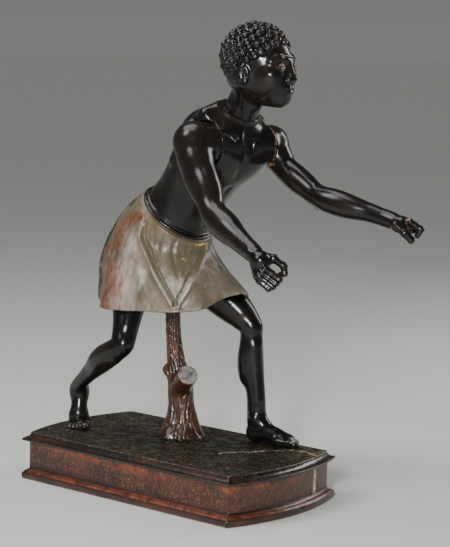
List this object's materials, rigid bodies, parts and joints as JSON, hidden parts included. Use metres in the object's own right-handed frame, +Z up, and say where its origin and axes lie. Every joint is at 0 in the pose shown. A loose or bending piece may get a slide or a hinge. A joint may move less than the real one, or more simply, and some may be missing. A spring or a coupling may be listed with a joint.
{
  "type": "carved wooden striding figure on plinth",
  "caption": "Ebonised carved wooden youth in a painted kilt striding with both arms forward, one hand closed to a ring, braced by a tree trunk on a moulded oblong plinth.",
  "frame": {"origin": "centre of the plinth's flat underside", "axes": "+X the way the figure strides, along the plinth; +Y the figure's left; +Z up"},
  "size_m": [0.4065, 0.1758, 0.476],
  "materials": {
    "ebonised": "polished black stain over carved wood",
    "kilt_paint": "worn grey-white paint over red-brown ground",
    "trunk_wood": "red-brown varnished carved bark",
    "plinth_dark": "dark stained and varnished, carved ground",
    "frieze_wood": "red-brown varnish over punched texture",
    "filler": "bare pale wood",
    "dowel_wood": "bare turned dowel",
    "steel": "plain drawn iron",
    "eye_inlay": "dull pale inlay"
  },
  "bodies": {
    "root": {"head": "ebonised", "torso": "ebonised", "right_arm": "ebonised", "left_arm": "ebonised", "right_leg": "ebonised", "left_leg": "ebonised", "kilt": "kilt_paint", "right_eye": "eye_inlay", "left_eye": "eye_inlay", "tree_trunk": "trunk_wood", "neck_dowel": "dowel_wood", "right_shoulder_dowel": "dowel_wood", "left_shoulder_dowel": "dowel_wood", "waist_dowel": "dowel_wood", "right_hip_dowel": "dowel_wood", "left_hip_dowel": "dowel_wood", "trunk_top_dowel": "dowel_wood", "trunk_screw": "steel", "front_foot_pin": "steel", "rear_foot_pin": "steel", "plinth_top": "plinth_dark", "core_front_plank": "frieze_wood", "core_rear_plank": "frieze_wood", "joint_filler": "filler", "base_moulding_front": "plinth_dark", "base_moulding_rear": "plinth_dark", "base_moulding_left_end": "plinth_dark", "base_moulding_right_end": "plinth_dark"}
  },
  "joints": []
}
